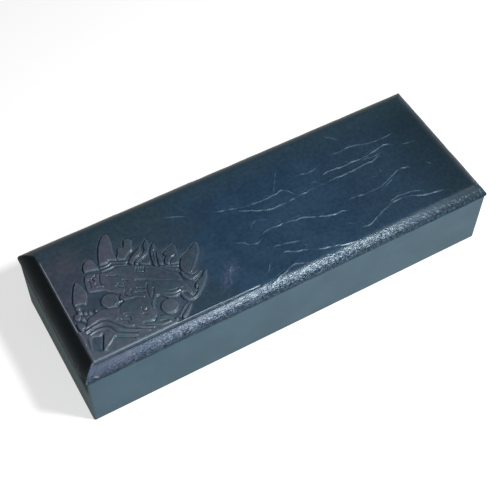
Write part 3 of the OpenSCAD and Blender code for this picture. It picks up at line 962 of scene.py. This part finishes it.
def base_leather_material():
    """The thin split hide of the underside: matt, darker, with a coarser nap."""
    s = Shader("base_leather")
    at = s.place()
    cloud = s.spread(s.noise(at, 0.07, 3), 0.35, 0.65)
    colour = s.mix(cloud, (0.012, 0.036, 0.052), (0.02, 0.05, 0.068))
    nap = s.noise(at, 1.3, 5, 0.65)
    colour = s.shade(colour, s.spread(nap, 0.3, 0.7, 0.8, 1.2))
    rough = s.spread(nap, 0.3, 0.7, 0.62, 0.78)
    return s.surface(colour, rough, s.bump(nap, 0.5, 0.0004), {"Specular IOR Level": 0.3})


def velvet_material():
    """Short dark navy pile, brushed lighter and darker in soft patches."""
    s = Shader("velvet")
    at = s.place()
    brushed = s.spread(s.noise(at, 0.045, 3, 0.6), 0.36, 0.64)
    colour = s.mix(brushed, (0.007, 0.012, 0.04), (0.016, 0.026, 0.074))
    pile = s.noise(at, 4, 3, 0.7)
    colour = s.shade(colour, s.spread(pile, 0.3, 0.7, 0.7, 1.3))
    rough = s.spread(pile, 0.3, 0.7, 0.82, 0.95)
    normal = s.bump(s.noise(at, 0.3, 3), 0.2, 0.001)
    normal = s.bump(pile, 0.6, 0.0003, normal)
    return s.surface(colour, rough, normal, {
        "Specular IOR Level": 0.15, "Sheen Weight": 0.35, "Sheen Roughness": 0.4,
        "Sheen Tint": (0.3, 0.4, 0.85)})


def wood_material(name, along):
    """Planed pale wood, its grain along x (0) or y (1)."""
    s = Shader(name)
    stretch = [0.35, 0.35, 0.35]
    stretch[along] = 0.012
    fibres_at = s.stretched(s.place(), stretch)
    rings = s.noise(fibres_at, 1, 3, 0.6)
    bands = s.math("FRACT", s.times(rings, 9))
    colour = s.mix(s.spread(bands, 0.1, 0.9), (0.6, 0.43, 0.26), (0.44, 0.28, 0.14))
    pores = s.noise(fibres_at, 9, 3, 0.7)
    colour = s.shade(colour, s.spread(pores, 0.35, 0.65, 0.85, 1.1))
    rough = s.spread(pores, 0.3, 0.7, 0.55, 0.7)
    return s.surface(colour, rough, s.bump(pores, 0.3, 0.0003), {})


def metal_material(name, clean, dull, smooth_rough, dull_rough):
    """Brushed metal with dull patches and fine scratches along the hinge."""
    s = Shader(name)
    at = s.place()
    patches = s.spread(s.noise(at, 0.35, 4, 0.6), 0.4, 0.62)
    colour = s.mix(patches, clean, dull)
    lines = s.noise(s.stretched(at, (0.25, 6, 6)), 1.2, 3, 0.6)
    colour = s.shade(colour, s.spread(lines, 0.3, 0.7, 0.85, 1.1))
    rough = s.math("ADD", s.spread(patches, 0, 1, smooth_rough, dull_rough),
                   s.spread(lines, 0.3, 0.7, -0.05, 0.08))
    return s.surface(colour, rough, s.bump(lines, 0.25, 0.00005), {"Metallic": 1.0})


def floor_material():
    """Near-white, shown white where no shadow falls and far away."""
    s = Shader("floor")
    path = s.add("LightPath", {}).outputs
    away = s.length(s.place())
    seen = s.math("ADD", path["Is Camera Ray"], path["Is Transmission Ray"])
    seen = s.times(seen, s.spread(away, 280, 800, 0.57, 1))
    mirrored = s.times(path["Is Glossy Ray"], 0.2)
    diffuse = s.add("BsdfDiffuse", {"Color": (0.5, 0.5, 0.5)})
    glow = s.add("Emission", {"Color": (1, 1, 1), "Strength": s.math("ADD", seen, mirrored)})
    return s.finish(s.add("AddShader", {0: diffuse.outputs[0], 1: glow.outputs[0]}))


def add_floor():
    """A wide floor just under the case."""
    corners = [(x, y, -0.00002) for x, y in ((-3, -3), (3, -3), (3, 3), (-3, 3))]
    mesh = bpy.data.meshes.new("floor")
    mesh.from_pydata(corners, [], [(0, 1, 2, 3)])
    mesh.materials.append(floor_material())
    floor = bpy.data.objects.new("floor", mesh)
    show(floor)


def add_lamp(name, place, aim, size, power):
    """A round lamp at a place, aimed at another (mm and watts)."""
    data = bpy.data.lights.new(name, "AREA")
    data.shape = "DISK"
    data.size = size * MM
    data.energy = power
    lamp = bpy.data.objects.new(name, data)
    lamp.location = Vector(place) * MM
    lamp.rotation_euler = (Vector(place) - Vector(aim)).to_track_quat("Z", "Y").to_euler()
    show(lamp)


def add_world():
    """Dim on the object, paler at the horizon where gloss mirrors it, white if seen."""
    s = Shader("studio", bpy.data.worlds)
    height = s.axes(s.add("TexCoord", {}).outputs["Generated"])["Z"]
    horizon = s.add("MapRange", {"Value": height, "From Min": 0.05, "From Max": 0.5,
                                 "To Min": 0.5, "To Max": 0.12}).outputs["Result"]
    path = s.add("LightPath", {}).outputs
    mirrored = s.add("Mix", {0: path["Is Glossy Ray"], 2: 0.18, 3: horizon}).outputs[0]
    seen = s.math("MAXIMUM", path["Is Camera Ray"], mirrored)
    background = s.add("Background", {"Color": (1, 1, 1), "Strength": seen})
    bpy.context.scene.world = s.finish(background, "OutputWorld")


# The well in mm: half its length and width, half an end lining, the heights of the floor
# lining's underside and top and of the other linings' tops, and how thick each is
ROOM_X, ROOM_Y = 104, 32.5
SIDE_Y = 31
FLOOR_LOW, FLOOR_TOP, LINING_TOP = 5, 6.5, 34.3
CARD = 1.5
# The velvet pad under the lid: half its length and width, its top and its depth
PAD_X, PAD_Y, PAD_TOP, PAD_DEPTH = 101.9, 30.4, 36.1, 3.4
# Velvet: its thickness over that board, a pad's finely divided margin, its swell and its pull
VELVET = 0.8
MARGIN = 1.6
SWELL, SWELL_MORE, SWELL_REACH = 0.22, 0.05, 8
PULL, PULL_REACH = 0.1, 9


def rounded(away, radius):
    """Rises from 0 at an edge to 1 a radius in, as a quarter circle does."""
    return np.sqrt(np.clip(1 - (1 - np.clip(away / radius, 0, 1)) ** 2, 0, 1))


def pad_places(half, pitch):
    """Places across a pad, closest where the velvet rolls over."""
    return spaced((-half, MARGIN - half, FINE), (MARGIN - half, half - MARGIN, pitch),
                  (half - MARGIN, half, FINE))


def velvet_pad(name, half_u, half_v, thick, rolls, seed, board=None):
    """A padded board, face up: rolls gives its rounding at the ends, foot and head."""
    end_roll, foot_roll, head_roll = rolls
    u, v = np.meshgrid(pad_places(half_u, 2.6), pad_places(half_v, 2.2))
    from_end, from_foot, from_head = half_u - np.abs(u), v + half_v, half_v - v
    face = thick * rounded(from_end, end_roll)
    face *= rounded(from_foot, foot_roll) * rounded(from_head, head_roll)
    swell = step(from_end / SWELL_REACH) * step(from_foot / SWELL_REACH)
    swell = swell * step(from_head / SWELL_REACH)
    face += swell * (SWELL + SWELL_MORE * ripple(u, v, 9, seed))
    back = np.zeros_like(face)
    if board is not None:
        inside = np.minimum(from_end, np.minimum(from_foot, from_head)) > VELVET - 0.01
        back = np.where(inside, board, 0)
        pull = PULL * step((np.abs(u) - half_u + PULL_REACH) / PULL_REACH)
        u = u - np.sign(u) * pull * (1 - (v / half_v) ** 2)
    face = np.maximum(face, back + 0.02)
    return grid_solid(name, u, v, face, back)


def set_against(piece, origin, u, v):
    """Lays a pad on a surface at origin, with u and v along it (mm)."""
    u, v = Vector(u), Vector(v)
    turn = Matrix((u, v, u.cross(v))).transposed().to_4x4()
    piece.data.transform(Matrix.Translation(Vector(origin) * MM) @ turn)


def dress(piece, material, body, node):
    """Gives a velvet pad its material and puts it in its node's place."""
    show(piece)
    piece.data.materials.append(material)
    piece.data.shade_smooth()
    piece.data.set_sharp_from_angle(angle=math.radians(50))
    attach(piece, body)
    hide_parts(node)


def make_linings(material):
    """The velvet-covered cards of the well, and the pad under the lid."""
    floor = velvet_pad("floor_pad", ROOM_X, ROOM_Y, CARD, (0.2, 0.2, 0.2), 21)
    set_against(floor, (0, 0, FLOOR_LOW), (1, 0, 0), (0, 1, 0))
    dress(floor, material, "body", "floor_lining")

    half_h, middle = (LINING_TOP - FLOOR_TOP) / 2, (LINING_TOP + FLOOR_TOP) / 2
    walls = [("front", ROOM_X, (0, -ROOM_Y), (-1, 0, 0)), ("back", ROOM_X, (0, ROOM_Y), (1, 0, 0)),
             ("left", SIDE_Y, (-ROOM_X, 0), (0, 1, 0)), ("right", SIDE_Y, (ROOM_X, 0), (0, -1, 0))]
    for seed, (side, half, place, along) in enumerate(walls, 22):
        wall = velvet_pad(side + "_pad", half, half_h, CARD, (0.6, 0.5, 1.3), seed)
        set_against(wall, (*place, middle), along, (0, 0, 1))
        dress(wall, material, "body", side + "_lining")

    pad = velvet_pad("lid_pad", PAD_X, PAD_Y, PAD_DEPTH, (1.3, 1.3, 1.3), 26,
                     board=PAD_DEPTH - VELVET)
    set_against(pad, (0, 0, PAD_TOP), (1, 0, 0), (0, -1, 0))
    dress(pad, material, "lid", "lid_lining")


def give(material, *names):
    """Puts a material on CAD nodes."""
    for name in names:
        frame["nodes"][name].data.materials[0] = material


add_camera()
add_floor()
add_lamp("key", place=(157, -242, 465), aim=(0, 0, 0), size=90, power=3.8)
add_lamp("fill", place=(-250, -400, 240), aim=(-20, -38, 20), size=260, power=0.9)
add_world()
bpy.context.scene.view_settings.view_transform = "Standard"

make_lid_cover(lid_leather_material())
make_linings(velvet_material())
give(body_leather_material(), "side_leather")
give(base_leather_material(), "base_sheet")
give(wood_material("wood_long", 0), "base_board", "front_wall", "back_wall", "lid_board",
     "lid_panel")
give(wood_material("wood_short", 1), "left_wall", "right_wall")
give(metal_material("brass", (0.6, 0.46, 0.25), (0.42, 0.31, 0.16), 0.3, 0.42),
     "left_hinge_body_leaf", "left_hinge_lid_leaf", "right_hinge_body_leaf",
     "right_hinge_lid_leaf")
give(metal_material("steel", (0.58, 0.58, 0.58), (0.36, 0.34, 0.32), 0.28, 0.45),
     "left_hinge_pin", "right_hinge_pin", "body_hinge_screws", "lid_hinge_screws")
